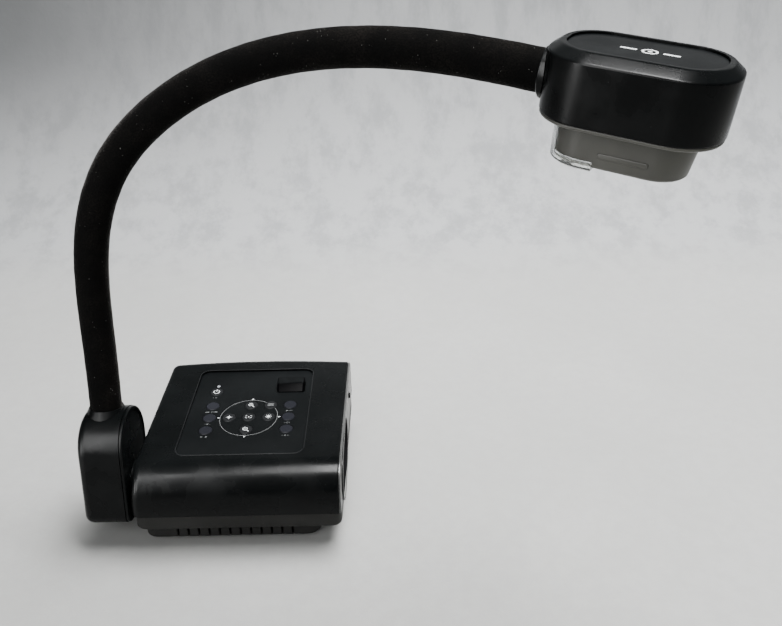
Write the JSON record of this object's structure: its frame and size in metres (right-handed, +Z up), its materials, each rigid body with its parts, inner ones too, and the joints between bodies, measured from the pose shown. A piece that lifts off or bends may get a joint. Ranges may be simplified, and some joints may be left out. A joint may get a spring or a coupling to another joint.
{
  "type": "document camera",
  "caption": "Desktop document camera with a flat control base, a folding knuckle, a black gooseneck arm and an oval camera head looking down",
  "frame": {"origin": "middle of the footprint, on the table under the feet", "axes": "+X to the right of the control base, +Y from its front to its back, +Z up"},
  "size_m": [0.4442, 0.254, 0.4111],
  "materials": {
    "board_green": "satin",
    "clear_plastic": "gloss",
    "dark_grey": "satin",
    "foot_rubber": "matte",
    "gloss_black": "gloss",
    "key_grey": "satin",
    "lamp_white": "satin",
    "led_blue": "gloss",
    "lens_glass": "gloss",
    "neck_fabric": "matte",
    "satin_black": "satin",
    "side_grey": "satin",
    "steel": "satin",
    "warm_grey": "satin"
  },
  "bodies": {
    "base": {"base_shell": "satin_black", "base_pan": "dark_grey", "vent_plinth": "dark_grey", "foot_front_left": "foot_rubber", "foot_front_right": "foot_rubber", "foot_back_left": "foot_rubber", "foot_back_right": "foot_rubber", "ballast_plate": "steel", "side_panel": "side_grey", "head_holder": "satin_black", "socket_block": "dark_grey", "power_inlet": "gloss_black", "main_board": "board_green", "panel_plate": "satin_black", "ir_window": "gloss_black", "power_led": "led_blue", "keypad_board": "board_green", "pivot_hub": "satin_black", "hinge_shaft": "steel"},
    "knuckle": {"knuckle_housing": "satin_black", "knuckle_cover": "satin_black", "friction_washer": "steel", "neck_collar": "satin_black", "neck_link_01": "neck_fabric"},
    "neck_02": {"neck_link_02": "neck_fabric"},
    "neck_03": {"neck_link_03": "neck_fabric"},
    "neck_04": {"neck_link_04": "neck_fabric"},
    "neck_05": {"neck_link_05": "neck_fabric"},
    "neck_06": {"neck_link_06": "neck_fabric"},
    "neck_07": {"neck_link_07": "neck_fabric"},
    "neck_08": {"neck_link_08": "neck_fabric"},
    "neck_09": {"neck_link_09": "neck_fabric"},
    "head": {"neck_link_10": "neck_fabric", "head_collar": "gloss_black", "head_shell": "satin_black", "head_top": "satin_black", "head_bottom": "warm_grey", "lens_housing": "warm_grey", "lens_barrel": "gloss_black", "lens_glass": "lens_glass", "lamp_bar": "lamp_white", "sensor_board": "board_green"},
    "lens_cover": {"lens_cover": "clear_plastic"},
    "side_switch": {"side_switch": "satin_black"},
    "key_capture": {"key_capture": "key_grey"},
    "key_down": {"key_down": "satin_black"},
    "key_freeze": {"key_freeze": "key_grey"},
    "key_lamp": {"key_lamp": "key_grey"},
    "key_left": {"key_left": "satin_black"},
    "key_menu": {"key_menu": "satin_black"},
    "key_ok": {"key_ok": "satin_black"},
    "key_play": {"key_play": "key_grey"},
    "key_power": {"key_power": "satin_black"},
    "key_record": {"key_record": "key_grey"},
    "key_right": {"key_right": "satin_black"},
    "key_source": {"key_source": "key_grey"},
    "key_up": {"key_up": "satin_black"}
  },
  "joints": [
    {"name": "arm_fold", "type": "hinge", "parent": "base", "child": "knuckle", "pos_m": [-0.19881, -0.0122, 0.048], "axis": [-1, 0, 0], "range_deg": [0, 74]},
    {"name": "neck_bend_1", "type": "hinge", "parent": "knuckle", "child": "neck_02", "pos_m": [-0.20202, 0.01507, 0.15616], "axis": [-0.2665, 0.9554, -0.127], "range_deg": [-17, 14]},
    {"name": "neck_bend_2", "type": "hinge", "parent": "neck_02", "child": "neck_03", "pos_m": [-0.19811, 0.02042, 0.21053], "axis": [-0.2613, 0.965, -0.0204], "range_deg": [-17, 14]},
    {"name": "neck_side_3", "type": "hinge", "parent": "neck_03", "child": "neck_04", "pos_m": [-0.18701, 0.02125, 0.26409], "axis": [0.9227, 0.2472, -0.2958], "range_deg": [-15, 15]},
    {"name": "neck_bend_4", "type": "hinge", "parent": "neck_04", "child": "neck_05", "pos_m": [-0.16234, 0.01932, 0.31271], "axis": [-0.145, 0.9763, 0.1609], "range_deg": [-17, 14]},
    {"name": "neck_bend_5", "type": "hinge", "parent": "neck_05", "child": "neck_06", "pos_m": [-0.12306, 0.0173, 0.35053], "axis": [-0.0653, 0.9877, 0.1419], "range_deg": [-17, 14]},
    {"name": "neck_side_6", "type": "hinge", "parent": "neck_06", "child": "neck_07", "pos_m": [-0.07526, 0.01229, 0.37652], "axis": [0.3922, 0.1051, -0.9138], "range_deg": [-15, 15]},
    {"name": "neck_bend_7", "type": "hinge", "parent": "neck_07", "child": "neck_08", "pos_m": [-0.02392, 0.00082, 0.39148], "axis": [0.2438, 0.9644, 0.1023], "range_deg": [-17, 14]},
    {"name": "neck_bend_8", "type": "hinge", "parent": "neck_08", "child": "neck_09", "pos_m": [0.02803, -0.01551, 0.397], "axis": [0.3337, 0.9425, 0.0191], "range_deg": [-17, 14]},
    {"name": "neck_side_9", "type": "hinge", "parent": "neck_09", "child": "head", "pos_m": [0.079, -0.03548, 0.39533], "axis": [-0.1013, -0.0271, -0.9945], "range_deg": [-15, 15]},
    {"name": "press_capture", "type": "slide", "parent": "base", "child": "key_capture", "axis": [0, 0, -1], "range_m": [0, 0.0008], "stiffness_N_per_m": 600, "springref_m": -0.0002},
    {"name": "press_down", "type": "slide", "parent": "base", "child": "key_down", "axis": [0, 0, -1], "range_m": [0, 0.0008], "stiffness_N_per_m": 600, "springref_m": -0.0002},
    {"name": "press_freeze", "type": "slide", "parent": "base", "child": "key_freeze", "axis": [0, 0, -1], "range_m": [0, 0.0008], "stiffness_N_per_m": 600, "springref_m": -0.0002},
    {"name": "press_lamp", "type": "slide", "parent": "base", "child": "key_lamp", "axis": [0, 0, -1], "range_m": [0, 0.0008], "stiffness_N_per_m": 600, "springref_m": -0.0002},
    {"name": "press_left", "type": "slide", "parent": "base", "child": "key_left", "axis": [0, 0, -1], "range_m": [0, 0.0008], "stiffness_N_per_m": 600, "springref_m": -0.0002},
    {"name": "press_menu", "type": "slide", "parent": "base", "child": "key_menu", "axis": [0, 0, -1], "range_m": [0, 0.0008], "stiffness_N_per_m": 600, "springref_m": -0.0002},
    {"name": "press_ok", "type": "slide", "parent": "base", "child": "key_ok", "axis": [0, 0, -1], "range_m": [0, 0.0008], "stiffness_N_per_m": 600, "springref_m": -0.0002},
    {"name": "press_play", "type": "slide", "parent": "base", "child": "key_play", "axis": [0, 0, -1], "range_m": [0, 0.0008], "stiffness_N_per_m": 600, "springref_m": -0.0002},
    {"name": "press_power", "type": "slide", "parent": "base", "child": "key_power", "axis": [0, 0, -1], "range_m": [0, 0.0008], "stiffness_N_per_m": 600, "springref_m": -0.0002},
    {"name": "press_record", "type": "slide", "parent": "base", "child": "key_record", "axis": [0, 0, -1], "range_m": [0, 0.0008], "stiffness_N_per_m": 600, "springref_m": -0.0002},
    {"name": "press_right", "type": "slide", "parent": "base", "child": "key_right", "axis": [0, 0, -1], "range_m": [0, 0.0008], "stiffness_N_per_m": 600, "springref_m": -0.0002},
    {"name": "press_source", "type": "slide", "parent": "base", "child": "key_source", "axis": [0, 0, -1], "range_m": [0, 0.0008], "stiffness_N_per_m": 600, "springref_m": -0.0002},
    {"name": "press_up", "type": "slide", "parent": "base", "child": "key_up", "axis": [0, 0, -1], "range_m": [0, 0.0008], "stiffness_N_per_m": 600, "springref_m": -0.0002},
    {"name": "switch_slide", "type": "slide", "parent": "base", "child": "side_switch", "axis": [0, 1, 0], "range_m": [0, 0.003]},
    {"name": "cover_pull", "type": "slide", "parent": "head", "child": "lens_cover", "axis": [-0.8714, 0.483, 0.0854], "range_m": [0, 0.03]}
  ]
}
